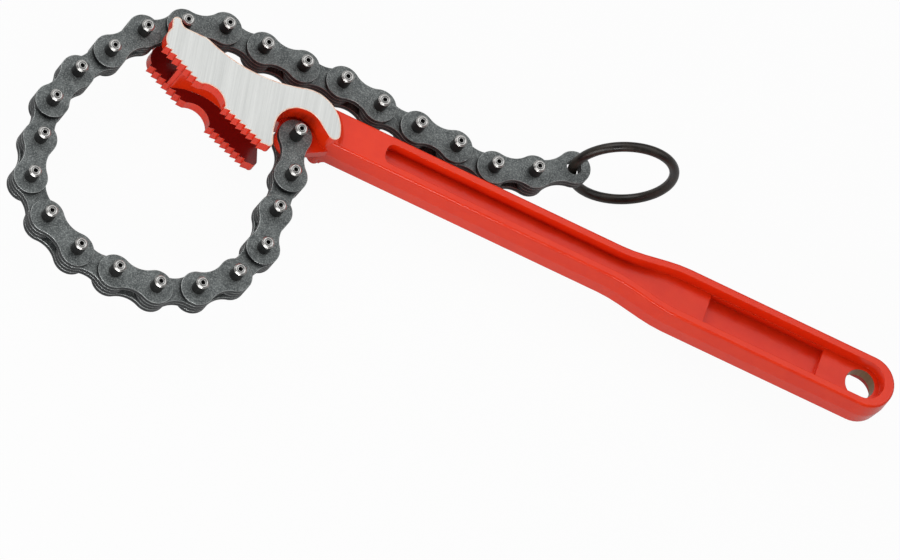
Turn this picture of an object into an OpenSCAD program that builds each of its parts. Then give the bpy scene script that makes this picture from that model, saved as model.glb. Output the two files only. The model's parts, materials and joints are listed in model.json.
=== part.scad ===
// Chain pipe wrench: one forged handle with a double jaw, and a leaf chain with a pull ring.
// Lengths in millimetres. The origin is the centre of the hang hole, half way through the handle.
// +X runs along the handle to its butt, +Y points away from the pipe, +Z is the axis of all pins.

/* [Overall] */
// Length from the horn of the jaw to the butt of the handle
overall_len = 300; // [280:1:360]

/* [Handle] */
// Thickness of shank and grip
handle_thk = 15.7; // [14:0.1:18]
// Height of the shank
shank_h = 14; // [13:0.1:15.5]
// Height of the grip
grip_h = 20.8; // [19.5:0.1:24]
// Distance from the hang hole to the full height of the grip
grip_len = 75; // [70:1:86]
// Length of the flare between shank and grip
flare_len = 27; // [18:1:36]
// Radius of the long edges
edge_r = 1; // [0.8:0.1:2.2]
// How far the parting ridge stands out along the middle of both sides
side_draft = 0.45; // [0.1:0.05:0.8]
// Diameter of the hang hole
hang_d = 11.5; // [10:0.1:12.5]
// Distance from the hang hole to the end of the butt
butt_inset = 12.4; // [11.6:0.1:15]

/* [Side hollows] */
// Thickness of the web between the two side hollows
web_thk = 5.2; // [4.4:0.1:7]
// Width of the rims above and below the hollows
rim_w = 3; // [2.4:0.1:3.4]
// Distance from the head to the start of the hollows
hollow_start = 18.5; // [12:0.5:40]
// Corner radius at the start of the hollows
hollow_corner_r = 3; // [1.5:0.1:3.4]
// Length of the sunk panel in the front hollow
panel_len = 46.5; // [30:0.5:50]
// Ledge between the sunk panel and the upper and lower walls of the hollow
panel_ledge = 0.4; // [0.2:0.1:2]
// Depth of the sunk panel
panel_depth = 3; // [0.5:0.1:3.2]
// Distance from the hang hole to the near end of the sunk panel
panel_inset = 17; // [15:0.5:20]
// Width of the rim at the end of the butt
butt_rim_w = 4.5; // [3.5:0.1:5.5]

/* [Head] */
// Thickness of the head over both ground faces
head_thk = 23.2; // [21.5:0.1:27]
// Length of the head from the foremost point of the horn to the neck
head_len = 72.6; // [70:0.1:78]
// How far the head's own axis lies below the axis of the handle
head_drop = 0.6; // [0:0.1:1.2]
// Thickness of each toothed cheek
cheek_thk = 5.2; // [4:0.1:6]
// Pitch of the upper row of teeth
tooth_pitch_a = 2.7; // [2.3:0.05:2.9]
// Pitch of the lower row of teeth
tooth_pitch_b = 2.55; // [2.2:0.05:2.75]
// Depth of the teeth
tooth_depth = 1.15; // [0.7:0.05:1.5]
// Teeth in the upper row
teeth_a = 7; // [5:1:7]
// Teeth in the lower row
teeth_b = 8; // [6:1:8]
// Radius of the fillet between the head and the shank
neck_fillet = 3.2; // [1.5:0.1:4]

/* [Anchor] */
// Radius of the recess around the anchor pin
recess_r = 9.6; // [9:0.1:10.5]
// Radius of the tongue around the anchor pin
tongue_r = 6.2; // [5:0.1:7]

/* [Chain] */
// Pitch of the chain
pitch = 15.875; // [15:0.125:17]
// Distance from the last pin to the ring hole
end_pitch = 17; // [15.875:0.125:18.5]
// Thickness of one plate
plate_thk = 2.1; // [1.8:0.05:2.4]
// Diameter of the round plate ends
plate_d = 12.8; // [11.8:0.1:13.6]
// Width of a plate at its waist
waist_w = 8.6; // [7.6:0.1:9.6]
// Diameter of the pins
pin_d = 4.8; // [4.2:0.05:5.2]
// How far a pin stands out from the outer plate
pin_reach = 5.7; // [3:0.1:6.2]
// Running clearance of the inner plates and the tongue on a pin, on the radius
pin_clear = 0.05; // [0.02:0.01:0.09]
// Side clearance between neighbouring plates
side_clear = 0.1; // [0.05:0.01:0.2]
// Slack between the hooked pin and the floor of its notch
hook_slack = 2.4; // [0.5:0.1:2.8]

/* [Pull ring] */
// Mean diameter of the ring
ring_d = 37.7; // [32:0.1:44]
// Diameter of the ring's wire
wire_d = 3.7; // [3:0.1:4.2]
// Clearance between the wire and its hole, on the radius
ring_clear = 1; // [0.7:0.05:1.3]
// Direction in which the ring lies, in degrees from +X
ring_dir = 18; // [0:1:50]
// How far the ring's middle is lifted towards the front, in degrees
ring_lift = 11; // [0:1:12]
// How far the ring is rolled about the line from its hole to its middle, in degrees
ring_roll = -7; // [-10:1:10]

/* [Hidden] */
$fn = 64;
eps = 0.01;

// Direction of each link from the anchor pin to the ring hole, in degrees, as the chain lies:
// down from the anchor, once round the pipe space, over the horn and along the handle
lay_angles = [
    -77, -92, -88, -112, -134, -155, -175, -185, -206, -227, -263, -267, -287,
    -302, -303, -324, -337, -362, -359, -356, -368, -365, -361, -364, -339, -324
];
// Links between the anchor pin and the pin that hangs on the horn
loop_links = 16;
half_loop = loop_links / 2;
outer_links = 13;
inner_links = 13;

// Stack of the chain, from the middle plane outwards
inner_base = side_clear / 2;
inner_top = inner_base + plate_thk;
outer_base = inner_top + side_clear;
chain_half = outer_base + plate_thk;
pin_half = chain_half + pin_reach;
pin_r = pin_d / 2;
plate_r = plate_d / 2;
ring_hole_d = wire_d + 2 * ring_clear;

// Pin ends: chamfer and centre drilling
pin_chamfer = 0.5;
centre_d = 1.5;
centre_depth = 1.2;

// Radius of the hollow side of a plate, which runs into both round ends without a kink
waist_r = (pow(pitch / 2, 2) + pow(waist_w / 2, 2) - pow(plate_r, 2)) / (plate_d - waist_w);
end_waist_r = (pow(end_pitch / 2, 2) + pow(waist_w / 2, 2) - pow(plate_r, 2)) / (plate_d - waist_w);

// The head's own corner: level with the foremost point of the horn, on the axis of the head
head_at = [butt_inset - overall_len, -head_drop];
neck_x = head_at.x + head_len;
// How far the shank reaches back into the lobe of the head
neck_root = 2.1;
// How deep the foot of the neck's fillet lies in the shank, and how far it runs on round the lobe, in degrees
cove_sink = 0.08;
cove_run = 10;
jaw_gap = head_thk - 2 * cheek_thk;

// Points of the jaw, from the head's corner; those near the neck keep their distance from it
horn_left = [0.1, 10.2];
horn_top = [1.4, 11.6];
horn_right = [3.1, 11.2];
notch_side = [4.2, 9.7];
notch_floor = [5.7, 8.9];
brow = [13.9, 9];
saddle_left = [16, 8.4];
saddle_mid = [head_len - 37.2, 4.6];
crown_left = [head_len - 19.5, 7.2];
crown_mid = [head_len - 4.1, 4.2];
lobe_right = [head_len - 0.2, -3.3];
lobe_bottom = [head_len - 1.4, -6.3];
lobe_left = [head_len - 3.7, -6.2];
anchor_at = [head_len - 14.2, -7.9];
recess_at = anchor_at + [-0.3, -2];
nose_right = [head_len - 22.3, -18.4];
nose_bottom = [head_len - 22.9, -20.2];
throat = [head_len - 23.8, -13.5];
row_a_start = [1.4, -0.4];
row_a_angle = -26.5;
row_b_end = [head_len - 24.3, -20.3];
row_b_angle = -21;
row_a_end = row_a_start + teeth_a * tooth_pitch_a * unit(row_a_angle);
row_b_start = row_b_end - teeth_b * tooth_pitch_b * unit(row_b_angle);
// Hollow between the two rows, and the share of the pitch that a tooth's steep side takes
hollow_rise = 2.7;
hollow_mid = (row_a_end + row_b_start) / 2 + hollow_rise * unit(90 + (row_a_angle + row_b_angle) / 2);
tooth_lean = 0.1;
cheek_left = [0, 3];
cheek_waist = [0.9, 6.5];

// Bridge between the cheeks: its left face, the land beside the upper teeth and the hollow underside
bridge_high = [12.1, 9];
bridge_low = [9.1, -5];
land_w = 2.3;
bridge_lip = bridge_low + land_w * unit(row_a_angle);
bridge_mid = [21, -3.7];
bridge_turn = [head_len - 39, -6.4];
bridge_end = [head_len - 26, -10.5];

// Where the chain starts, and where its hooked pin lies
anchor = head_at + anchor_at;
hook_pin = head_at + notch_floor + [0, pin_r + hook_slack];

// Handle
flare_x = -grip_len - flare_len;
flare_steps = 6;
butt_x = butt_inset - side_draft - grip_h / 2;
hollow_end_r = grip_h / 2 - rim_w;
hollow_end_x = butt_inset - butt_rim_w - hollow_end_r;
hollow_x = neck_x + hollow_start;
hollow_depth = (handle_thk - web_thk) / 2;
panel_h = grip_h - 2 * rim_w - 2 * panel_ledge;

function unit(a) = [cos(a), sin(a)];
function heading(v) = atan2(v.y, v.x);

// Centre of the circle through p, q and r
function arc_centre(p, q, r) =
    let (d = 2 * (p.x * (q.y - r.y) + q.x * (r.y - p.y) + r.x * (p.y - q.y)))
    [
        p * p * (q.y - r.y) + q * q * (r.y - p.y) + r * r * (p.y - q.y),
        p * p * (r.x - q.x) + q * q * (p.x - r.x) + r * r * (q.x - p.x)
    ] / d;

// Points of the arc from p through q to r, in n steps
function arc3(p, q, r, n) =
    let (
        c = arc_centre(p, q, r),
        a = heading(p - c),
        span = heading(r - c) - a,
        left = cross(q - p, r - q) > 0,
        sweep = left ? (span + 720) % 360 : -((720 - span) % 360)
    )
    [for (k = [0 : n]) c + norm(p - c) * unit(a + sweep * k / n)];

// Points of a row of saw teeth from its first root, each with a steep left side
function teeth(start, dir, pitch, n) = [
    for (k = [0 : n - 1]) each [
        start + k * pitch * unit(dir),
        start + (k + tooth_lean) * pitch * unit(dir) + tooth_depth * unit(dir - 90)
    ],
    start + n * pitch * unit(dir)
];

function reversed(list) = [for (k = [len(list) - 1 : -1 : 0]) list[k]];

// Height of the handle at x, an S-shaped flare between shank and grip
function handle_h(x) =
    let (t = min(1, max(0, (x - flare_x) / flare_len)))
    shank_h + (grip_h - shank_h) * t * t * (3 - 2 * t);

// The loop closes on the horn: its two halves keep the shape of the lay and turn as two arms,
// from the anchor and from the hooked pin, until they meet
function run(from, to) =
    from >= to ? [0, 0] : pitch * unit(lay_angles[from]) + run(from + 1, to);
first_arm = run(0, half_loop);
second_arm = run(half_loop, loop_links);
loop_span = hook_pin - anchor;
arm_angle = acos(
    (pow(norm(first_arm), 2) + pow(norm(loop_span), 2) - pow(norm(second_arm), 2))
    / (2 * norm(first_arm) * norm(loop_span))
);
meeting = norm(first_arm) * unit(heading(loop_span) + arm_angle);
first_turn = heading(meeting) - heading(first_arm);
second_turn = heading(loop_span - meeting) - heading(second_arm);

function link_dir(i) =
    lay_angles[i] + (i < half_loop ? first_turn : i < loop_links ? second_turn : 0);
function pin_at(k) = k == 0 ? anchor : pin_at(k - 1) + pitch * unit(link_dir(k - 1));
last_link = len(lay_angles) - 1;
ring_hole_at = pin_at(last_link) + end_pitch * unit(link_dir(last_link));

// Outline of both cheeks, from the head's corner
module cheek_outline() {
    recess_right = recess_at + recess_r * unit(45);
    recess_top = recess_at + recess_r * unit(90);
    recess_left = recess_at + recess_r * unit(180);
    polygon(concat(
        arc3(horn_left, horn_top, horn_right, 6),
        arc3(horn_right, notch_side, notch_floor, 4),
        [brow],
        arc3(saddle_left, saddle_mid, crown_left, 12),
        arc3(crown_left, crown_mid, lobe_right, 14),
        arc3(lobe_right, lobe_bottom, lobe_left, 6),
        arc3(recess_right, recess_top, recess_left, 14),
        [throat],
        arc3(nose_right, nose_bottom, row_b_end, 6),
        reversed(teeth(row_b_start, row_b_angle, tooth_pitch_b, teeth_b)),
        arc3(row_b_start, hollow_mid, row_a_end, 10),
        reversed(teeth(row_a_start, row_a_angle, tooth_pitch_a, teeth_a)),
        arc3(row_a_start, cheek_left, cheek_waist, 6)
    ));
}

// Space between the cheeks: open to the left for the chain, and downwards and to the right below the bridge
module slot_outline() {
    reach = 2 * head_len;
    polygon(concat(
        [[bridge_high.x, reach], bridge_high, bridge_low],
        arc3(bridge_lip, bridge_mid, bridge_turn, 12),
        [bridge_end, [reach, bridge_end.y], [reach, -reach], [-reach, -reach], [-reach, reach]]
    ));
}

// Tongue in the middle of the recess, round the anchor pin and back into the neck
module tongue_outline() {
    under = anchor_at + tongue_r * unit(-60);
    translate(anchor_at) circle(tongue_r);
    polygon([
        anchor_at + [-tongue_r, 0],
        [anchor_at.x - tongue_r, saddle_mid.y],
        [head_len, saddle_mid.y],
        [head_len, head_drop - shank_h / 2],
        under
    ]);
}

module head() {
    translate(head_at) {
        difference() {
            linear_extrude(head_thk, center = true) cheek_outline();
            linear_extrude(jaw_gap, center = true) slot_outline();
        }
        linear_extrude(2 * inner_top, center = true) tongue_outline();
    }
}

// Section of the handle: height along x, thickness along y, with a ridge half way along each side
module bar_section(h) {
    side = h / 2;
    flat = handle_thk / 2 - edge_r;
    polygon([
        [side + side_draft, 0], [side, flat], [-side, flat],
        [-side - side_draft, 0], [-side, -flat], [side, -flat]
    ]);
    square([h - 2 * edge_r, handle_thk], center = true);
    for (sx = [-1, 1], sy = [-1, 1])
        translate([sx * (h / 2 - edge_r), sy * (handle_thk / 2 - edge_r)]) circle(edge_r);
}

module bar(from, to, h) {
    translate([from, 0]) rotate([90, 0, 90]) linear_extrude(to - from) bar_section(h);
}

module flare() {
    step = flare_len / flare_steps;
    for (k = [0 : flare_steps - 1])
        hull() for (x = [flare_x + k * step, flare_x + (k + 1) * step])
            bar(x - eps, x + eps, handle_h(x), $fn = 32);
}

// The half of the section on the side of +Y
module half_section(h) {
    intersection() {
        bar_section(h);
        translate([0, -handle_thk]) square([h, 2 * handle_thk]);
    }
}

module butt() {
    translate([butt_x, 0]) rotate_extrude() half_section(grip_h);
}

// Outline of the side hollows, a rim inside the outline of the handle, round the hang hole
module hollow_outline() {
    low_h = shank_h / 2 - rim_w;
    xs = [for (k = [0 : 2 * flare_steps]) flare_x + flare_len * k / (2 * flare_steps)];
    upper = concat(
        [[hollow_x + hollow_corner_r, low_h]],
        [for (x = xs) [x, handle_h(x) / 2 - rim_w]],
        [[hollow_end_x, hollow_end_r]]
    );
    polygon(concat(upper, reversed([for (p = upper) [p.x, -p.y]])));
    translate([hollow_end_x, 0]) circle(hollow_end_r);
    translate([hollow_x, -low_h + hollow_corner_r])
        square([2 * hollow_corner_r, 2 * (low_h - hollow_corner_r)]);
    for (s = [-1, 1])
        translate([hollow_x + hollow_corner_r, s * (low_h - hollow_corner_r)]) circle(hollow_corner_r);
}

// The upper half of the shank runs on behind the crown
module neck() {
    from = head_at.x + crown_left.x + edge_r;
    translate([from, 0]) rotate([90, 0, 90]) linear_extrude(neck_x - from) half_section(shank_h);
}

// Fillet where the thicker head runs down into the shank, round the crown and on to the lobe
module neck_cove() {
    c = arc_centre(crown_left, crown_mid, lobe_right);
    arc_r = norm(crown_left - c);
    fillet_r = min(neck_fillet, (head_thk - handle_thk) / 2);
    from = heading(lobe_right - c) - cove_run;
    reach = 3 * neck_root;
    intersection() {
        translate([head_at.x + c.x, head_at.y + c.y, handle_thk / 2 - cove_sink])
            rotate(from) rotate_extrude(angle = heading(crown_left - c) - from) difference() {
                translate([arc_r - edge_r, -edge_r]) square([fillet_r + edge_r, fillet_r + edge_r]);
                translate([arc_r + fillet_r, fillet_r]) circle(fillet_r);
            }
        translate([neck_x - reach, -(shank_h - edge_r) / 2, 0])
            cube([reach + 2 * neck_fillet, shank_h - edge_r, head_thk]);
    }
}

module forged_handle() {
    color([0.86, 0.17, 0.10]) difference() {
        union() {
            head();
            neck();
            bar(neck_x - neck_root, flare_x, shank_h);
            flare();
            bar(flare_x + flare_len, butt_x, grip_h);
            butt();
            for (m = [0, 1]) mirror([0, 0, m]) neck_cove();
        }
        for (m = [0, 1]) mirror([0, 0, m])
            translate([0, 0, web_thk / 2]) linear_extrude(hollow_depth + 1) hollow_outline();
        translate([-panel_inset - panel_len, -panel_h / 2, web_thk / 2 - panel_depth])
            cube([panel_len, panel_h, panel_depth + 1]);
        cylinder(h = handle_thk, d = hang_d, center = true);
        translate(anchor) cylinder(h = head_thk, r = pin_r + pin_clear, center = true);
    }
}

// Turned pin with chamfered, centre-drilled ends
module pin(half) {
    rotate_extrude() polygon([
        [0, -half + centre_depth],
        [centre_d / 2, -half + centre_depth - centre_d / 4],
        [centre_d / 2, -half],
        [pin_r - pin_chamfer, -half],
        [pin_r, -half + pin_chamfer],
        [pin_r, half - pin_chamfer],
        [pin_r - pin_chamfer, half],
        [centre_d / 2, half],
        [centre_d / 2, half - centre_depth + centre_d / 4],
        [0, half - centre_depth]
    ]);
}

module anchor_pin() {
    color([0.75, 0.76, 0.77]) translate(anchor) pin(head_thk / 2);
}

// Outline of a plate with round ends and a waist, its first hole at the origin
module plate_outline(length, side_r) {
    side_y = waist_w / 2 + side_r;
    touch = plate_r / (plate_r + side_r) * [length / 2, side_y];
    for (x = [0, length]) translate([x, 0]) circle(plate_r);
    difference() {
        translate([touch.x, -touch.y]) square([length - 2 * touch.x, 2 * touch.y]);
        for (s = [-1, 1]) translate([length / 2, s * side_y]) circle(side_r);
    }
}

// One plate of link i, from height z, with a hole at each end
module plate(i, z, first_d, second_d) {
    length = i == last_link ? end_pitch : pitch;
    at = pin_at(i);
    translate([at.x, at.y, z]) rotate(link_dir(i)) difference() {
        linear_extrude(plate_thk) plate_outline(length, i == last_link ? end_waist_r : waist_r);
        translate([0, 0, -1]) cylinder(h = plate_thk + 2, d = first_d);
        translate([length, 0, -1]) cylinder(h = plate_thk + 2, d = second_d);
    }
}

module outer_plate(n, z) {
    color([0.33, 0.34, 0.35]) plate(2 * n - 2, z, pin_d, pin_d);
}

// The pins pressed into outer link n; the anchor pin stands in for the first one of link 1
module outer_pins(n) {
    color([0.75, 0.76, 0.77])
        for (k = n == 1 ? [1] : [2 * n - 2, 2 * n - 1]) translate(pin_at(k)) pin(pin_half);
}

module inner_plates(n) {
    i = 2 * n - 1;
    run_d = pin_d + 2 * pin_clear;
    color([0.30, 0.31, 0.32])
        for (z = [-inner_top, inner_base]) plate(i, z, run_d, i == last_link ? ring_hole_d : run_d);
}

// Ring through the end hole, standing across the plates
module pull_ring() {
    color([0.12, 0.11, 0.10])
        translate(ring_hole_at) rotate([90 + ring_roll, -ring_lift, ring_dir]) translate([ring_d / 2, 0])
            rotate_extrude() translate([ring_d / 2, 0]) circle(d = wire_d);
}

forged_handle();
anchor_pin();
pull_ring();
for (n = [1 : outer_links]) {
    outer_plate(n, outer_base);
    outer_plate(n, -chain_half);
    outer_pins(n);
}
for (n = [1 : inner_links])
    inner_plates(n);
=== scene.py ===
"""Looks of a chain pipe wrench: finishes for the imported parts, fine surface pieces, light and camera."""

import json
import logging
from dataclasses import dataclass
from enum import Enum
from typing import Any, Iterable, Sequence

import bpy
import numpy as np
from mathutils import Matrix, Vector


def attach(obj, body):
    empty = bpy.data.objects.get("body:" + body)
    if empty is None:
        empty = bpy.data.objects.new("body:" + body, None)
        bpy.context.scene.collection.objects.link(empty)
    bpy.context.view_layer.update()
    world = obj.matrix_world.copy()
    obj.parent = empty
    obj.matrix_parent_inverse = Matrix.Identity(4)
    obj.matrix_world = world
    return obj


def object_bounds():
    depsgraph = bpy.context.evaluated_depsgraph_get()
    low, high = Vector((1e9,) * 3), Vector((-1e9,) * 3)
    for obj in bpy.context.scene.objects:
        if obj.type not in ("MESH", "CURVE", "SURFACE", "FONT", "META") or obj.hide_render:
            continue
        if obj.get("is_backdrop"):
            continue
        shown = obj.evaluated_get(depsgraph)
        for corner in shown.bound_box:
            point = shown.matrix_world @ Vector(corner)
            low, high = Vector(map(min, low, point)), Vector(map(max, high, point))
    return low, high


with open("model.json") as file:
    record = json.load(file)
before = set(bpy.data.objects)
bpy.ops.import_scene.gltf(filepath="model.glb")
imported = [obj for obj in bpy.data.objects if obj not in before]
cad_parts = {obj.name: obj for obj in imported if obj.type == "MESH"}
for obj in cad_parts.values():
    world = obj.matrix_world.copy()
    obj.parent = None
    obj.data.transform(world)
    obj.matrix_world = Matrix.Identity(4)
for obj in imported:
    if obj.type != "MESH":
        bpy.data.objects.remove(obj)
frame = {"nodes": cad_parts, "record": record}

Colour = tuple[float, float, float, float]
Point = tuple[float, float, float]
Span = tuple[float, float]

MM = 0.001
FLOOR_GAP = 0.5 * MM
GROOVE_DEPTH = "groove_depth"
NO_LENGTH = 1e-9
WHITE: Colour = (1.0, 1.0, 1.0, 1.0)
log = logging.getLogger("wrench")


class Slot(Enum):
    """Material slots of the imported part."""

    PAINT = "red_paint"
    PIN = "pin_steel"


class Effect(Enum):
    """Shader node groups that several materials share."""

    EDGE = "rounded_edge"
    MOTTLE = "mottle"
    STREAKS = "streaks"


class Side(Enum):
    """The two sides of the wrench along the pin axis."""

    FRONT = 1
    BACK = -1


class Graph:
    """A node tree with short calls to add nodes and join sockets."""

    def __init__(self, tree: bpy.types.NodeTree) -> None:
        """Wraps a tree.

        Args:
            tree: The node tree that new nodes go into.
        """
        self.tree = tree

    def feed(self, node: bpy.types.Node, inputs: dict[Any, Any]) -> None:
        """Sets or links inputs of a node.

        Args:
            node: The node that takes the inputs.
            inputs: Socket name or index to a value, or to an output socket to link.
        """
        for key, value in inputs.items():
            if isinstance(value, bpy.types.NodeSocket):
                self.tree.links.new(value, node.inputs[key])
            else:
                node.inputs[key].default_value = value

    def node(self, kind: str, inputs: dict[Any, Any] | None = None, **settings: Any) -> bpy.types.Node:
        """Adds one node.

        Args:
            kind: Blender's node type.
            inputs: Socket name or index to a value, or to an output socket to link.
            settings: Attributes of the node itself.

        Returns:
            The new node.
        """
        made = self.tree.nodes.new(kind)
        for name, value in settings.items():
            setattr(made, name, value)
        self.feed(made, inputs or {})
        return made

    def math(self, operation: str, *values: Any, clamp: bool = False) -> bpy.types.NodeSocket:
        """Adds a Math node.

        Args:
            operation: Blender's name of the operation.
            values: One to three numbers or sockets.
            clamp: Whether the result is kept between 0 and 1.

        Returns:
            The result's socket.
        """
        inputs = dict(enumerate(values))
        return self.node("ShaderNodeMath", inputs, operation=operation, use_clamp=clamp).outputs[0]

    def rise(self, value: Any, share: float, start: Any, clamp: bool = False) -> bpy.types.NodeSocket:
        """Adds a share of a pattern to a start value.

        Args:
            value: Number or socket of the pattern.
            share: How much of the pattern is added.
            start: Number or socket that it is added to.
            clamp: Whether the result is kept between 0 and 1.

        Returns:
            The sum's socket.
        """
        return self.math("MULTIPLY_ADD", value, share, start, clamp=clamp)

    def mix(self, factor: Any, low: Any, high: Any) -> bpy.types.NodeSocket:
        """Blends two colours.

        Args:
            factor: 0 gives low and 1 gives high.
            low: Colour or socket.
            high: Colour or socket.

        Returns:
            The blended colour's socket.
        """
        return self.node("ShaderNodeMix", {0: factor, 6: low, 7: high}, data_type="RGBA").outputs[2]

    def blend(self, factor: Any, low: Any, high: Any) -> bpy.types.NodeSocket:
        """Blends two numbers.

        Args:
            factor: 0 gives low and 1 gives high.
            low: Number or socket.
            high: Number or socket.

        Returns:
            The blended number's socket.
        """
        return self.node("ShaderNodeMix", {0: factor, 2: low, 3: high}, data_type="FLOAT").outputs[0]

    def ramp(self, value: Any, span: Span) -> bpy.types.NodeSocket:
        """Maps a number from a span to 0..1, smoothly and clamped.

        Args:
            value: Number or socket.
            span: The value that gives 0 and the value that gives 1.

        Returns:
            The mapped number's socket.
        """
        inputs = {0: value, 1: span[0], 2: span[1], 3: 0.0, 4: 1.0}
        return self.node("ShaderNodeMapRange", inputs, interpolation_type="SMOOTHSTEP").outputs[0]

    def bump(self, height: Any, strength: float, depth: float, normal: Any = None) -> bpy.types.NodeSocket:
        """Tilts the shading normal by a height pattern.

        Args:
            height: Socket of the pattern.
            strength: Share of the tilt that is used.
            depth: Height of the pattern, in metres.
            normal: Socket of the normal to start from, or none for the surface's own.

        Returns:
            The tilted normal's socket.
        """
        inputs = {"Height": height, "Strength": strength, "Distance": depth}
        if normal is not None:
            inputs["Normal"] = normal
        return self.node("ShaderNodeBump", inputs).outputs[0]

    def object_coords(self) -> bpy.types.NodeSocket:
        """Returns the socket of the object's own coordinates, in metres."""
        return self.node("ShaderNodeTexCoord").outputs["Object"]

    def facing(self) -> bpy.types.NodeSocket:
        """Measures how squarely the surface faces along the pins.

        Returns:
            Socket of a number, 0 on the sides and 1 on flat faces.
        """
        normal = self.node("ShaderNodeNewGeometry").outputs["Normal"]
        axes = self.node("ShaderNodeSeparateXYZ", {0: normal})
        return self.math("ABSOLUTE", axes.outputs[2])

    def effect(self, effect: Effect, **inputs: Any) -> bpy.types.bpy_prop_collection:
        """Adds one of the shared node groups.

        Args:
            effect: Which group.
            inputs: Values or sockets for the group's inputs.

        Returns:
            The group's outputs.
        """
        made = self.node("ShaderNodeGroup", node_tree=bpy.data.node_groups[effect.value])
        self.feed(made, inputs)
        return made.outputs


@dataclass(frozen=True)
class Effects:
    """Builds the shared node groups. They put out only masks, values and normals."""

    bevel_samples: int = 6
    noise_span: Span = (0.3, 0.7)
    streak_skew: float = 0.16
    broad_scale: Point = (0.22, 0.5, 0.5)

    def build(self) -> None:
        """Makes every group once."""
        self._edge()
        self._mottle()
        self._streaks()

    @staticmethod
    def _group(
        effect: Effect, inputs: Iterable[tuple[str, float]], outputs: Iterable[tuple[str, str]]
    ) -> tuple[Graph, bpy.types.Node, bpy.types.Node]:
        """Starts a group.

        Args:
            effect: The group's name.
            inputs: Names and first values of the float inputs.
            outputs: Names and socket types of the outputs.

        Returns:
            The group's graph, its input node and its output node.
        """
        tree = bpy.data.node_groups.new(effect.value, "ShaderNodeTree")
        for name, value in inputs:
            socket = tree.interface.new_socket(name, in_out="INPUT", socket_type="NodeSocketFloat")
            socket.default_value = value
        for name, kind in outputs:
            tree.interface.new_socket(name, in_out="OUTPUT", socket_type=kind)
        graph = Graph(tree)
        return graph, graph.node("NodeGroupInput"), graph.node("NodeGroupOutput")

    def _edge(self) -> None:
        """Rounds sharp edges in the shading, and masks the band that is rounded."""
        graph, given, out = self._group(
            Effect.EDGE, [("Radius", 0.3 * MM), ("Gain", 6.0)],
            [("Normal", "NodeSocketVector"), ("Mask", "NodeSocketFloat")])
        bevel = graph.node("ShaderNodeBevel", {"Radius": given.outputs["Radius"]}, samples=self.bevel_samples)
        flat = graph.node("ShaderNodeNewGeometry").outputs["Normal"]
        dot = graph.node("ShaderNodeVectorMath", {0: bevel.outputs[0], 1: flat}, operation="DOT_PRODUCT")
        turned = graph.math("SUBTRACT", 1.0, dot.outputs["Value"])
        mask = graph.math("MULTIPLY", turned, given.outputs["Gain"], clamp=True)
        graph.feed(out, {"Normal": bevel.outputs[0], "Mask": mask})

    def _mottle(self) -> None:
        """Gives broad patches and a fine grain, both from 0 to 1."""
        graph, given, out = self._group(
            Effect.MOTTLE, [("Scale", 200.0), ("Grain", 2500.0)],
            [("Patches", "NodeSocketFloat"), ("Grain", "NodeSocketFloat")])
        coords = graph.object_coords()
        patches = graph.node("ShaderNodeTexNoise", {
            "Vector": coords, "Scale": given.outputs["Scale"], "Detail": 5.0, "Roughness": 0.6})
        grain = graph.node("ShaderNodeTexNoise", {
            "Vector": coords, "Scale": given.outputs["Grain"], "Detail": 3.0, "Roughness": 0.55})
        graph.feed(out, {
            "Patches": graph.ramp(patches.outputs[0], self.noise_span),
            "Grain": graph.ramp(grain.outputs[0], self.noise_span)})

    def _streaks(self) -> None:
        """Gives lines that run nearly along Y, fine across X, from 0 to 1."""
        graph, given, out = self._group(
            Effect.STREAKS, [("Across", 1400.0), ("Along", 35.0)],
            [("Fine", "NodeSocketFloat"), ("Broad", "NodeSocketFloat")])
        axes = graph.node("ShaderNodeSeparateXYZ", {0: graph.object_coords()}).outputs
        skewed = graph.rise(axes[1], self.streak_skew, axes[0])
        fine_at = graph.node("ShaderNodeCombineXYZ", {
            0: graph.math("MULTIPLY", skewed, given.outputs["Across"]),
            1: graph.math("MULTIPLY", axes[1], given.outputs["Along"]),
            2: graph.math("MULTIPLY", axes[2], given.outputs["Along"])})
        broad_at = graph.node(
            "ShaderNodeVectorMath", {0: fine_at.outputs[0], 1: self.broad_scale}, operation="MULTIPLY")
        fine = graph.node("ShaderNodeTexNoise", {
            "Vector": fine_at.outputs[0], "Scale": 1.0, "Detail": 4.0, "Roughness": 0.65})
        broad = graph.node("ShaderNodeTexNoise", {
            "Vector": broad_at.outputs[0], "Scale": 1.0, "Detail": 2.0, "Roughness": 0.5})
        graph.feed(out, {
            "Fine": graph.ramp(fine.outputs[0], self.noise_span),
            "Broad": graph.ramp(broad.outputs[0], self.noise_span)})


def new_material(name: str) -> tuple[bpy.types.Material, Graph, bpy.types.Node]:
    """Makes an empty node material.

    Args:
        name: Name of the material.

    Returns:
        The material, its graph and its Principled shader, already joined to the output.
    """
    material = bpy.data.materials.new(name)
    material.use_nodes = True
    material.node_tree.nodes.clear()
    graph = Graph(material.node_tree)
    shader = graph.node("ShaderNodeBsdfPrincipled")
    graph.node("ShaderNodeOutputMaterial", {"Surface": shader.outputs[0]})
    return material, graph, shader


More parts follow.
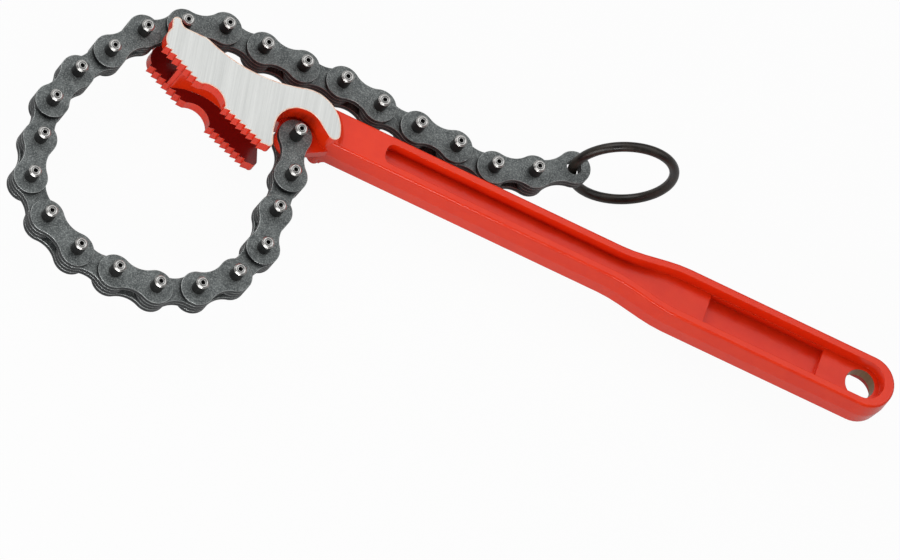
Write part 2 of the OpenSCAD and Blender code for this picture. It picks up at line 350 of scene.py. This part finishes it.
@dataclass(frozen=True)
class PaintFinish:
    """Glossy paint on a forging: painted shade in the jaw's gap, a painted highlight on rounded edges, ground
    off its side faces, bare in the hang hole.
    """

    colour: Colour = (0.79, 0.035, 0.005, 1.0)
    deep_colour: Colour = (0.75, 0.028, 0.004, 1.0)
    # painted highlight: a lighter red for the rounded edges
    edge_highlight_colour: Colour = (0.84, 0.070, 0.016, 1.0)
    # painted shade for the inner faces of the cheeks in the jaw's gap
    gap_shade_colour: Colour = (0.19, 0.005, 0.004, 1.0)
    steel_light: Colour = (0.69, 0.70, 0.685, 1.0)
    steel_dark: Colour = (0.47, 0.48, 0.47, 1.0)
    hole_colour: Colour = (0.26, 0.150, 0.075, 1.0)
    ground_z: float = 11.57 * MM
    hole_r: float = 5.79 * MM
    gap_z: float = 6.4 * MM
    gap_band: float = 0.05 * MM
    gap_end: float = -236.0 * MM
    edge_radius: float = 0.28 * MM
    edge_gain: float = 3.0
    edge_highlight_share: float = 0.3
    patch_scale: float = 130.0
    broad_share: float = 0.25
    gloss: float = 0.19
    peel: float = 0.05
    brush_rough: float = 0.36
    brush_rise: float = 0.16
    specular: float = 0.40
    ior: float = 1.42
    waviness: float = 5.0
    bump_strength: float = 0.16
    bump_depth: float = 0.05 * MM

    def build(self) -> bpy.types.Material:
        """Builds the material.

        Returns:
            The paint, with its bare places chosen by where a point lies on the forging.
        """
        material, graph, shader = new_material("glossy_red_paint")
        axes = graph.node("ShaderNodeSeparateXYZ", {0: graph.object_coords()}).outputs
        height = graph.math("ABSOLUTE", axes[2])
        ground = graph.math("GREATER_THAN", height, self.ground_z)
        square = graph.math("ADD", graph.math("POWER", axes[0], 2.0), graph.math("POWER", axes[1], 2.0))
        hole = graph.math("LESS_THAN", graph.math("SQRT", square), self.hole_r)
        bare = graph.math("MAXIMUM", ground, hole)
        # Painted shade: the inner faces of the cheeks in the jaw's gap, where the front cheek shades them.
        in_head = graph.math("LESS_THAN", axes[0], self.gap_end)
        gap_shade_mask = graph.math("MULTIPLY", in_head, graph.math("COMPARE", height, self.gap_z, self.gap_band))

        edge = graph.effect(Effect.EDGE, Radius=self.edge_radius, Gain=self.edge_gain)
        patches = graph.effect(Effect.MOTTLE, Scale=self.patch_scale)["Patches"]
        streaks = graph.effect(Effect.STREAKS)
        paint = graph.mix(patches, self.deep_colour, self.colour)
        # Painted highlight: the band of each rounded edge turns a lighter red.
        paint = graph.mix(graph.math("MULTIPLY", edge["Mask"], self.edge_highlight_share), paint, self.edge_highlight_colour)
        # Painted shade in the jaw's gap.
        paint = graph.mix(gap_shade_mask, paint, self.gap_shade_colour)
        fine = graph.math("MULTIPLY", streaks["Fine"], 1.0 - self.broad_share)
        lines = graph.rise(streaks["Broad"], self.broad_share, fine)
        steel = graph.mix(lines, self.steel_dark, self.steel_light)

        peel = graph.rise(patches, self.peel, self.gloss)
        brushed = graph.rise(streaks["Fine"], self.brush_rise, self.brush_rough)
        relief = graph.blend(ground, graph.math("MULTIPLY", patches, self.waviness), lines)
        graph.feed(shader, {
            "Base Color": graph.mix(hole, graph.mix(ground, paint, steel), self.hole_colour),
            "Metallic": bare,
            "Roughness": graph.blend(bare, peel, brushed),
            "Normal": graph.bump(relief, self.bump_strength, self.bump_depth, edge["Normal"]),
            "IOR": self.ior,
            "Specular IOR Level": self.specular,
        })
        return material


@dataclass(frozen=True)
class PlateFinish:
    """Dark phosphated steel with a speckled face, cut sides painted near black as shade, and a bright edge
    band that is partly rubbing wear and partly a painted highlight.
    """

    dark: Colour = (0.038, 0.044, 0.045, 1.0)
    light: Colour = (0.194, 0.210, 0.207, 1.0)
    # painted shade for the cut sides of the plates
    cut_side_shade: Colour = (0.018, 0.020, 0.021, 1.0)
    # bright steel for the specks, and for the edge band, which is partly rubbing wear and partly a painted
    # highlight
    worn_and_highlight_colour: Colour = (0.68, 0.71, 0.70, 1.0)
    metallic: float = 0.55
    edge_radius: float = 0.50 * MM
    edge_gain: float = 5.0
    patch_scale: float = 240.0
    grain_scale: float = 2000.0
    grain_share: float = 0.55
    face_span: Span = (0.4, 0.8)
    fleck_span: Span = (0.62, 0.98)
    fleck_share: float = 0.16
    rub_and_highlight_low: float = 0.42
    rub_and_highlight_rise: float = 0.55
    rough_low: float = 0.42
    rough_rise: float = 0.16
    rubbed_rough: float = 0.34
    bump_strength: float = 0.20
    bump_depth: float = 0.04 * MM

    def build(self) -> bpy.types.Material:
        """Builds the material.

        Returns:
            The plates' steel.
        """
        material, graph, shader = new_material("phosphated_steel")
        edge = graph.effect(Effect.EDGE, Radius=self.edge_radius, Gain=self.edge_gain)
        mottle = graph.effect(Effect.MOTTLE, Scale=self.patch_scale, Grain=self.grain_scale)
        patches = graph.math("MULTIPLY", mottle["Patches"], 1.0 - self.grain_share)
        speckle = graph.rise(mottle["Grain"], self.grain_share, patches)
        flecks = graph.math("MULTIPLY", graph.ramp(mottle["Grain"], self.fleck_span), self.fleck_share)
        flat = graph.mix(flecks, graph.mix(speckle, self.dark, self.light), self.worn_and_highlight_colour)
        # Painted shade: faces that turn away from the pin axis, the cut sides, get a near-black colour.
        face = graph.mix(graph.ramp(graph.facing(), self.face_span), self.cut_side_shade, flat)
        # The bright edge band is partly rubbing wear and partly a painted highlight, patchy along the edge.
        wear_and_highlight_share = graph.rise(mottle["Patches"], self.rub_and_highlight_rise, self.rub_and_highlight_low)
        rubbed_and_highlit_edge = graph.math("MULTIPLY", edge["Mask"], wear_and_highlight_share)
        rough = graph.rise(speckle, self.rough_rise, self.rough_low)
        graph.feed(shader, {
            "Base Color": graph.mix(rubbed_and_highlit_edge, face, self.worn_and_highlight_colour),
            "Metallic": self.metallic,
            "Roughness": graph.blend(rubbed_and_highlit_edge, rough, self.rubbed_rough),
            "Normal": graph.bump(mottle["Grain"], self.bump_strength, self.bump_depth, edge["Normal"]),
        })
        return material


@dataclass(frozen=True)
class PinFinish:
    """Turned pins: oiled black sides, bright chamfers, and painted shade in the centre holes."""

    side: Colour = (0.016, 0.016, 0.016, 1.0)
    bright: Colour = (0.60, 0.59, 0.57, 1.0)
    # painted shade for the centre holes
    centre_hole_shade: Colour = (0.010, 0.010, 0.010, 1.0)
    end_span: Span = (0.35, 0.60)
    hole_shade_span: Span = (0.82, 0.88)
    patch_scale: float = 500.0
    grain_scale: float = 4000.0
    oil_share: float = 0.4
    side_metallic: float = 0.4
    side_rough: float = 0.36
    end_rough: float = 0.30
    end_rise: float = 0.15
    bump_strength: float = 0.12
    bump_depth: float = 0.03 * MM

    def build(self) -> bpy.types.Material:
        """Builds the material.

        Returns:
            The pins' steel.
        """
        material, graph, shader = new_material("turned_pin_steel")
        facing = graph.facing()
        end = graph.ramp(facing, self.end_span)
        hole_shade = graph.ramp(facing, self.hole_shade_span)
        mottle = graph.effect(Effect.MOTTLE, Scale=self.patch_scale, Grain=self.grain_scale)
        turned = graph.mix(graph.math("MULTIPLY", mottle["Patches"], self.oil_share), self.bright, self.side)
        rough = graph.rise(mottle["Grain"], self.end_rise, self.end_rough)
        graph.feed(shader, {
            # Painted shade: flat end faces, seen only through the centre hole of each cap, are near black.
            "Base Color": graph.mix(end, self.side, graph.mix(hole_shade, turned, self.centre_hole_shade)),
            "Metallic": graph.blend(end, self.side_metallic, 1.0),
            "Roughness": graph.blend(end, self.side_rough, rough),
            "Normal": graph.bump(mottle["Grain"], self.bump_strength, self.bump_depth),
        })
        return material


@dataclass(frozen=True)
class RingFinish:
    """Black oxide wire, satin, with brown oil in its patches."""

    dark: Colour = (0.010, 0.009, 0.008, 1.0)
    brown: Colour = (0.030, 0.024, 0.018, 1.0)
    metallic: float = 0.3
    patch_scale: float = 220.0
    grain_scale: float = 2200.0
    rough_low: float = 0.27
    rough_rise: float = 0.16
    bump_strength: float = 0.22
    bump_depth: float = 0.05 * MM

    def build(self) -> bpy.types.Material:
        """Builds the material.

        Returns:
            The ring's black wire.
        """
        material, graph, shader = new_material("black_oxide_wire")
        mottle = graph.effect(Effect.MOTTLE, Scale=self.patch_scale, Grain=self.grain_scale)
        graph.feed(shader, {
            "Base Color": graph.mix(mottle["Patches"], self.dark, self.brown),
            "Metallic": self.metallic,
            "Roughness": graph.rise(mottle["Patches"], self.rough_rise, self.rough_low),
            "Normal": graph.bump(mottle["Grain"], self.bump_strength, self.bump_depth),
        })
        return material


@dataclass(frozen=True)
class LipFinish:
    """The broken edge of the paint round a ground face, where the pale primer shows."""

    pale: Colour = (0.86, 0.72, 0.60, 1.0)
    pink: Colour = (0.76, 0.42, 0.30, 1.0)
    patch_scale: float = 420.0
    rough: float = 0.5

    def build(self) -> bpy.types.Material:
        """Builds the material.

        Returns:
            The lip's primer.
        """
        material, graph, shader = new_material("paint_lip")
        patches = graph.effect(Effect.MOTTLE, Scale=self.patch_scale)["Patches"]
        graph.feed(shader, {"Base Color": graph.mix(patches, self.pink, self.pale), "Roughness": self.rough})
        return material


@dataclass(frozen=True)
class CapFinish:
    """Bright turned end of a pin, with painted shade in its groove and round its centre hole, and darker oil
    patches.
    """

    bright: Colour = (0.54, 0.535, 0.52, 1.0)
    # painted shade for the groove and the rim of the centre hole
    groove_shade: Colour = (0.07, 0.07, 0.07, 1.0)
    metallic: float = 1.0
    patch_scale: float = 700.0
    grain_scale: float = 5000.0
    oil_share: float = 0.25
    rough_low: float = 0.28
    rough_rise: float = 0.18

    def build(self) -> bpy.types.Material:
        """Builds the material.

        Returns:
            The turned steel, which reads the depth of the groove from the mesh.
        """
        material, graph, shader = new_material("turned_pin_end")
        depth = graph.node("ShaderNodeAttribute", attribute_name=GROOVE_DEPTH).outputs["Fac"]
        mottle = graph.effect(Effect.MOTTLE, Scale=self.patch_scale, Grain=self.grain_scale)
        # Painted shade: the groove and the rim of the centre hole get darker by their depth, with oil patches
        # on top.
        shade_and_oil = graph.rise(mottle["Patches"], self.oil_share, depth, clamp=True)
        graph.feed(shader, {
            "Base Color": graph.mix(shade_and_oil, self.bright, self.groove_shade),
            "Metallic": self.metallic,
            "Roughness": graph.rise(mottle["Grain"], self.rough_rise, self.rough_low),
        })
        return material


def new_piece(
    name: str, points: np.ndarray, quads: np.ndarray, material: bpy.types.Material
) -> bpy.types.Object:
    """Makes a mesh object at the origin from whole arrays.

    Args:
        name: Name of the piece.
        points: Vertices, in metres, in the row frame.
        quads: Vertex numbers of the four-sided faces.
        material: Finish of the piece.

    Returns:
        The new object, smooth shaded.
    """
    mesh = bpy.data.meshes.new(name)
    mesh.vertices.add(len(points))
    mesh.vertices.foreach_set("co", points.astype(np.float32).ravel())
    mesh.loops.add(quads.size)
    mesh.loops.foreach_set("vertex_index", quads.astype(np.int32).ravel())
    mesh.polygons.add(len(quads))
    mesh.polygons.foreach_set("loop_start", np.arange(0, quads.size, 4, dtype=np.int32))
    mesh.update(calc_edges=True)
    mesh.polygons.foreach_set("use_smooth", np.ones(len(quads), bool))
    mesh.materials.append(material)
    piece = bpy.data.objects.new(name, mesh)
    bpy.context.scene.collection.objects.link(piece)
    return piece


def strip_quads(rows: int, columns: int, start: int = 0) -> np.ndarray:
    """Numbers the faces of a grid that closes on itself along its rows.

    Args:
        rows: Points round the closed direction.
        columns: Points across.
        start: Number of the first vertex.

    Returns:
        One row of four vertex numbers for each face.
    """
    row, column = np.meshgrid(np.arange(rows), np.arange(columns - 1), indexing="ij")
    here = row * columns + column
    following = (row + 1) % rows * columns + column
    return start + np.stack([here, following, following + 1, here + 1], -1).reshape(-1, 4)


def node_points(name: str) -> np.ndarray:
    """Reads the vertices of a CAD node.

    Args:
        name: Name of the node.

    Returns:
        The vertices, in metres, as an array of three columns.
    """
    mesh = frame["nodes"][name].data
    points = np.zeros(len(mesh.vertices) * 3, np.float32)
    mesh.vertices.foreach_get("co", points)
    return points.reshape(-1, 3).astype(float)


def paint(node: str, material: bpy.types.Material) -> None:
    """Gives a CAD node its finish.

    Args:
        node: Name of the node.
        material: The finish.
    """
    target = frame["nodes"][node]
    target.data.materials.clear()
    target.data.materials.append(material)
    log.info("%s: %s", node, material.name)


@dataclass
class Forging:
    """The painted forging with its two ground faces and the broken paint edge round them."""

    paint: PaintFinish
    lip: LipFinish
    node: str = "forged_handle"
    body: str = "handle"
    weld: float = 0.002 * MM
    flat_limit: float = 0.99
    lip_width: float = 0.42 * MM
    lip_height: float = 0.05 * MM
    lip_lift: float = 0.004 * MM
    lip_columns: int = 5
    corner_limit: float = 0.35

    def build(self) -> None:
        """Paints the forging and lays a paint lip round each ground face."""
        paint(self.node, self.paint.build())
        finish = self.lip.build()
        for side in Side:
            self._lip(side, finish)

    def _ground_edges(self, side: Side) -> tuple[np.ndarray, list[tuple[int, int]]]:
        """Finds the border of a ground face: its edges that no second face runs back along.

        Args:
            side: Which of the two ground faces.

        Returns:
            Distinct points, and the point numbers of each border edge in the order of its face.
        """
        mesh = frame["nodes"][self.node].data
        steps = np.round(node_points(self.node) / self.weld).astype(int)
        points, same = np.unique(steps, axis=0, return_inverse=True)
        same = same.ravel()
        edges: dict[tuple[int, int], None] = {}
        for face in mesh.polygons:
            if face.normal.z * side.value > self.flat_limit and abs(face.center.z) > self.paint.ground_z:
                corners = [int(same[v]) for v in face.vertices]
                edges.update(dict.fromkeys(zip(corners, corners[1:] + corners[:1])))
        border = [(a, b) for a, b in edges if (b, a) not in edges and a != b]
        return points * self.weld, border

    @staticmethod
    def _loop(border: Sequence[tuple[int, int]]) -> list[int]:
        """Joins border edges into the longest closed line.

        Args:
            border: Pairs of point numbers.

        Returns:
            Point numbers in order.
        """
        following = dict(border)
        loops: list[list[int]] = []
        while following:
            first = next(iter(following))
            line = [first]
            at = following.pop(first)
            while at != first and at in following:
                line.append(at)
                at = following.pop(at)
            loops.append(line)
        return max(loops, key=len)

    def _lip(self, side: Side, finish: bpy.types.Material) -> None:
        """Lays a low crowned ribbon on the ground face, along its border.

        Across the ribbon, at t from 0 at the border to 1 inside, a point lies t widths inwards from
        the border, along the mean of the two neighbouring edge normals, and stands lip_height times
        4 t (1 - t) above the face, plus a small lift that keeps the ribbon clear of it.

        Args:
            side: Which of the two ground faces.
            finish: Material of the ribbon.
        """
        points, border = self._ground_edges(side)
        line = points[self._loop(border)]
        flat = line[:, :2]
        ahead = np.roll(flat, -1, 0) - flat
        ahead /= np.maximum(np.linalg.norm(ahead, axis=1, keepdims=True), NO_LENGTH)
        inward = side.value * np.stack([-ahead[:, 1], ahead[:, 0]], 1)
        mean = inward + np.roll(inward, 1, 0)
        mean /= np.maximum(np.linalg.norm(mean, axis=1, keepdims=True), self.corner_limit)
        t = np.linspace(0.0, 1.0, self.lip_columns)
        across = flat[:, None] + mean[:, None] * (t * self.lip_width)[None, :, None]
        crown = line[0, 2] + side.value * (self.lip_lift + self.lip_height * 4 * t * (1 - t))
        height = np.broadcast_to(crown[None, :, None], across.shape[:2] + (1,))
        surface = np.concatenate([across, height], -1)
        quads = strip_quads(len(line), len(t))
        name = f"paint_lip_{side.name.lower()}"
        piece = new_piece(name, surface.reshape(-1, 3), quads[:, ::-side.value], finish)
        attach(piece, self.body)
        log.info("%s: %d faces", name, len(quads))


@dataclass
class PinCaps:
    """Turned ends of the pins: two lands with a groove between them, round the centre hole.

    Each row of the profile holds a radius in millimetres, a height as a share of the land's height, and how
    deep in the groove it lies, from 0 to 1, which the finish turns into painted shade.
    """

    finish: CapFinish
    land_height: float = 0.12 * MM
    segments: int = 48
    pin_reach: float = 6.0 * MM
    profile: tuple[Point, ...] = (
        (0.79, 0.0, 0.9), (0.86, 0.7, 0.3), (0.95, 1.0, 0.0), (1.10, 1.0, 0.0),
        (1.17, 0.3, 0.8), (1.25, 0.1, 1.0), (1.33, 0.3, 0.8), (1.40, 1.0, 0.0),
        (1.78, 1.0, 0.0), (1.88, 0.6, 0.0), (1.94, -0.4, 0.1))

    def build(self, pins: dict[str, str]) -> None:
        """Makes the ends of every pin.

        Args:
            pins: CAD node of pins to the body that carries it.
        """
        material = self.finish.build()
        for node, body in pins.items():
            self._caps(node, body, material)

    def _pins(self, node: str) -> list[np.ndarray]:
        """Splits a node's points into its pins, which stand further apart than they are wide.

        Args:
            node: CAD node of one or two pins.

        Returns:
            The points of each pin.
        """
        points = node_points(node)
        near = np.linalg.norm(points[:, :2] - points[0, :2], axis=1) < self.pin_reach
        return [part for part in (points[near], points[~near]) if len(part)]

    def _caps(self, node: str, body: str, material: bpy.types.Material) -> None:
        """Revolves the profile about each pin's axis at both ends.

        A point at angle a and radius r of the profile lies at the pin's middle plus r (cos a, sin a),
        and stands the profile's height beyond the end of the pin.

        Args:
            node: CAD node of the pins.
            body: Body that carries them.
            material: Finish of the ends.
        """
        radius, height, groove_shade = (np.array(self.profile) * (MM, self.land_height, 1.0)).T
        angle = np.linspace(0.0, 2 * np.pi, self.segments, endpoint=False)
        points, quads, depth = [], [], []
        for part in self._pins(node):
            low, high = part.min(0), part.max(0)
            middle = (low + high) / 2
            for side in Side:
                end = high[2] if side is Side.FRONT else low[2]
                ring = np.stack([
                    middle[0] + np.outer(np.cos(angle), radius),
                    middle[1] + np.outer(np.sin(angle), radius),
                    np.broadcast_to(end + side.value * height, (self.segments, len(radius)))], -1)
                faces = strip_quads(self.segments, len(radius), sum(map(len, points)))
                quads.append(faces[:, ::-side.value])
                points.append(ring.reshape(-1, 3))
                depth.append(np.tile(groove_shade, self.segments))
        name = node.replace("_pins", "_pin_ends") if node.endswith("_pins") else f"{node}_ends"
        piece = new_piece(name, np.concatenate(points), np.concatenate(quads), material)
        values = piece.data.attributes.new(GROOVE_DEPTH, "FLOAT", "POINT")
        values.data.foreach_set("value", np.concatenate(depth).astype(np.float32))
        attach(piece, body)
        log.info("%s: %d faces", name, len(piece.data.polygons))


@dataclass
class Chain:
    """The leaf chain: finishes of its plates and pins, and the turned pin ends."""

    plates: PlateFinish
    pins: PinFinish
    caps: PinCaps

    def build(self) -> None:
        """Gives every plate and pin its finish and adds the pin ends."""
        plate_material = self.plates.build()
        pin_material = self.pins.build()
        carriers: dict[str, str] = {}
        for body, nodes in frame["record"]["behaviour"]["bodies"].items():
            for node in nodes:
                if "plate" in node:
                    paint(node, plate_material)
                elif "pin" in node:
                    paint(node, pin_material)
                    carriers[node] = body
        self.caps.build(carriers)


@dataclass
class PullRing:
    """The wire ring at the end of the chain."""

    finish: RingFinish
    node: str = "pull_ring"

    def build(self) -> None:
        """Gives the ring its finish."""
        paint(self.node, self.finish.build())


@dataclass(frozen=True)
class SoftLight:
    """One square soft box, aimed at a point."""

    name: str
    at: Point
    size: float
    energy: float
    aim: Point = (-0.16, -0.03, 0.0)

    def build(self) -> None:
        """Puts the light in the scene."""
        data = bpy.data.lights.new(self.name, "AREA")
        data.size = self.size
        data.energy = self.energy
        lamp = bpy.data.objects.new(self.name, data)
        lamp.location = self.at
        lamp.rotation_mode = "QUATERNION"
        lamp.rotation_quaternion = (Vector(self.aim) - Vector(self.at)).to_track_quat("-Z", "Y")
        bpy.context.scene.collection.objects.link(lamp)
        log.info("light %s", self.name)


@dataclass
class Studio:
    """White floor, soft light and the photograph's camera."""

    lights: Sequence[SoftLight]
    floor_level: float
    floor_half: float = 6.0
    floor_colour: Colour = (0.48, 0.48, 0.48, 1.0)
    floor_white: float = 0.96
    mirrored_white: float = 0.4
    ambient: float = 0.18
    camera_at: Point = (-0.781369, -1.733041, 3.137902)
    camera_right: Point = (0.890175, 0.302174, 0.340999)
    camera_up: Point = (-0.421730, 0.829714, 0.365677)
    lens: float = 400.0
    sensor: float = 36.0
    clip: Span = (0.05, 50.0)

    def build(self) -> None:
        """Makes the floor, the world, the lights and the camera."""
        self._floor()
        self._world()
        for light in self.lights:
            light.build()
        self._camera()
        bpy.context.scene.view_settings.view_transform = "Standard"

    def _seen_white(self, graph: Graph) -> bpy.types.NodeSocket:
        """Works out how much of the floor is plain white to a ray that sees it.

        Args:
            graph: Graph of the floor's material.

        Returns:
            Socket of the share: one for straight views and views through glass, a smaller one for
            mirrored views, and 0 for light.
        """
        path = graph.node("ShaderNodeLightPath").outputs
        straight = graph.math("MAXIMUM", path["Is Camera Ray"], path["Is Transmission Ray"])
        seen = graph.math("MULTIPLY", straight, self.floor_white)
        mirrored = graph.math("MULTIPLY", path["Is Glossy Ray"], self.mirrored_white)
        return graph.math("MAXIMUM", seen, mirrored)

    def _floor(self) -> None:
        """Lays a flat square floor, nearly white where it is seen, with a faint shadow."""
        half, level = self.floor_half, self.floor_level
        points = np.array([
            (-half, -half, level), (half, -half, level), (half, half, level), (-half, half, level)])
        material = bpy.data.materials.new("white_floor")
        material.use_nodes = True
        material.node_tree.nodes.clear()
        graph = Graph(material.node_tree)
        matt = graph.node("ShaderNodeBsdfDiffuse", {"Color": self.floor_colour})
        glow = graph.node("ShaderNodeEmission", {"Color": WHITE, "Strength": 1.0})
        mixed = graph.node("ShaderNodeMixShader", {
            0: self._seen_white(graph), 1: matt.outputs[0], 2: glow.outputs[0]})
        graph.node("ShaderNodeOutputMaterial", {"Surface": mixed.outputs[0]})
        new_piece("floor", points, np.array([[0, 1, 2, 3]]), material)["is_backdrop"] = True
        log.info("floor")

    def _world(self) -> None:
        """Makes an even pale surrounding."""
        world = bpy.data.worlds.new("studio")
        world.use_nodes = True
        world.node_tree.nodes.clear()
        graph = Graph(world.node_tree)
        light = graph.node("ShaderNodeBackground", {"Color": WHITE, "Strength": self.ambient})
        graph.node("ShaderNodeOutputWorld", {"Surface": light.outputs[0]})
        bpy.context.scene.world = world

    def _camera(self) -> None:
        """Sets up the long lens that took the photograph."""
        data = bpy.data.cameras.new("camera")
        data.lens = self.lens
        data.sensor_width = self.sensor
        data.clip_start, data.clip_end = self.clip
        right = Vector(self.camera_right).normalized()
        up = Vector(self.camera_up).normalized()
        turned = Matrix((right, up, right.cross(up))).transposed().to_4x4()
        camera = bpy.data.objects.new("camera", data)
        camera.matrix_world = Matrix.Translation(self.camera_at) @ turned
        bpy.context.scene.collection.objects.link(camera)
        bpy.context.scene.camera = camera


def main() -> None:
    """Builds the looks in order."""
    logging.basicConfig(level=logging.INFO, format="%(message)s")
    cad_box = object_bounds()
    Effects().build()
    Forging(PaintFinish(), LipFinish()).build()
    Chain(PlateFinish(), PinFinish(), PinCaps(CapFinish())).build()
    PullRing(RingFinish()).build()
    Studio(
        lights=(
            SoftLight("top", at=(0.13, 0.77, 1.48), size=1.4, energy=8.0),
            SoftLight("left", at=(-1.15, 0.50, 1.00), size=1.2, energy=11.0),
            SoftLight("right", at=(1.05, 0.35, 1.00), size=1.2, energy=5.0),
            SoftLight("front", at=(-0.42, -0.50, 0.15), size=0.3, energy=1.5),
            SoftLight("edge", at=(-0.06, -0.81, 0.42), size=0.18, energy=1.9),
        ),
        floor_level=cad_box[0].z - FLOOR_GAP,
    ).build()


if __name__ == "__main__":
    main()
